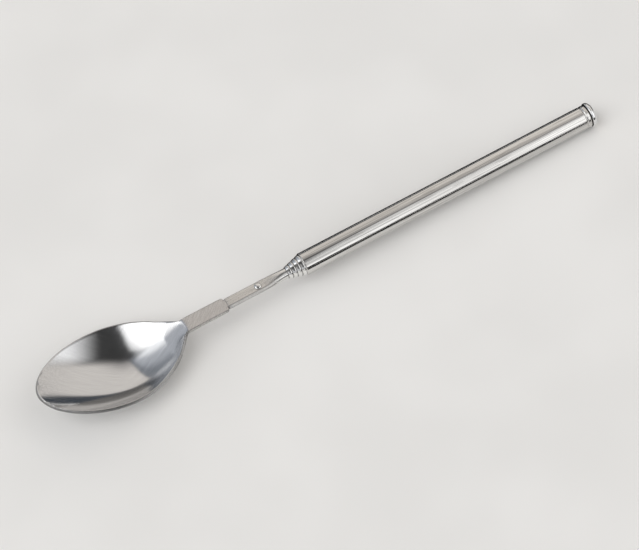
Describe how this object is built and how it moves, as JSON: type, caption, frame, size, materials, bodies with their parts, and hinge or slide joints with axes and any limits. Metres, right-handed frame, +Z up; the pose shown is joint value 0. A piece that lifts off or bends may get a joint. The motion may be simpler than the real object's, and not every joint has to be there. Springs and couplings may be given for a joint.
{
  "type": "telescopic cocktail spoon",
  "caption": "Cocktail spoon with a pressed oval bowl riveted to a telescopic rod of nested steel tubes that slide out and swivel, with a domed end cap.",
  "frame": {"origin": "centre of the bounding box, on the plane the spoon rests on", "axes": "+X from the bowl towards the end cap, +Z up with the bowl's hollow facing up, the rod leaning 1.80 degrees so that the bowl's belly and the end cap both touch Z = 0"},
  "size_m": [0.2118, 0.0334, 0.0143],
  "materials": {
    "tube_steel": "stainless steel, brushed lengthwise",
    "ring_steel": "stainless steel, polished",
    "rivet_steel": "stainless steel, polished dome",
    "bowl_steel": "stainless steel sheet, satin with fine streaks",
    "cap_chrome": "bright chrome",
    "shim_brass": "plain spring brass"
  },
  "bodies": {
    "handle": {"handle_tube": "tube_steel", "end_cap": "cap_chrome"},
    "shims_1": {"shim_1_upper": "shim_brass", "shim_1_lower": "shim_brass"},
    "tube_1": {"slide_tube_1": "ring_steel"},
    "shims_2": {"shim_2_upper": "shim_brass", "shim_2_lower": "shim_brass"},
    "tube_2": {"slide_tube_2": "ring_steel"},
    "shims_3": {"shim_3_upper": "shim_brass", "shim_3_lower": "shim_brass"},
    "tube_3": {"slide_tube_3": "ring_steel"},
    "shims_4": {"shim_4_upper": "shim_brass", "shim_4_lower": "shim_brass"},
    "tube_4": {"slide_tube_4": "ring_steel"},
    "shims_5": {"shim_5_upper": "shim_brass", "shim_5_lower": "shim_brass"},
    "tip": {"tip_tube": "tube_steel", "tip_rivet": "rivet_steel", "spoon_head": "bowl_steel"}
  },
  "joints": [
    {"name": "slide_1", "type": "slide", "parent": "handle", "child": "shims_1", "axis": [-0.9995, 0, 0.0315], "range_m": [0, 0.085]},
    {"name": "swivel_1", "type": "hinge", "parent": "shims_1", "child": "tube_1", "pos_m": [-0.00805, 0, 0.00782], "axis": [-0.9995, 0, 0.0315], "continuous": true},
    {"name": "slide_2", "type": "slide", "parent": "tube_1", "child": "shims_2", "axis": [-0.9995, 0, 0.0315], "range_m": [0, 0.085]},
    {"name": "swivel_2", "type": "hinge", "parent": "shims_2", "child": "tube_2", "pos_m": [-0.00805, 0, 0.00782], "axis": [-0.9995, 0, 0.0315], "continuous": true},
    {"name": "slide_3", "type": "slide", "parent": "tube_2", "child": "shims_3", "axis": [-0.9995, 0, 0.0315], "range_m": [0, 0.085]},
    {"name": "swivel_3", "type": "hinge", "parent": "shims_3", "child": "tube_3", "pos_m": [-0.00805, 0, 0.00782], "axis": [-0.9995, 0, 0.0315], "continuous": true},
    {"name": "slide_4", "type": "slide", "parent": "tube_3", "child": "shims_4", "axis": [-0.9995, 0, 0.0315], "range_m": [0, 0.085]},
    {"name": "swivel_4", "type": "hinge", "parent": "shims_4", "child": "tube_4", "pos_m": [-0.00805, 0, 0.00782], "axis": [-0.9995, 0, 0.0315], "continuous": true},
    {"name": "slide_5", "type": "slide", "parent": "tube_4", "child": "shims_5", "axis": [-0.9995, 0, 0.0315], "range_m": [0, 0.085]},
    {"name": "swivel_5", "type": "hinge", "parent": "shims_5", "child": "tip", "pos_m": [-0.00805, 0, 0.00782], "axis": [-0.9995, 0, 0.0315], "continuous": true}
  ]
}
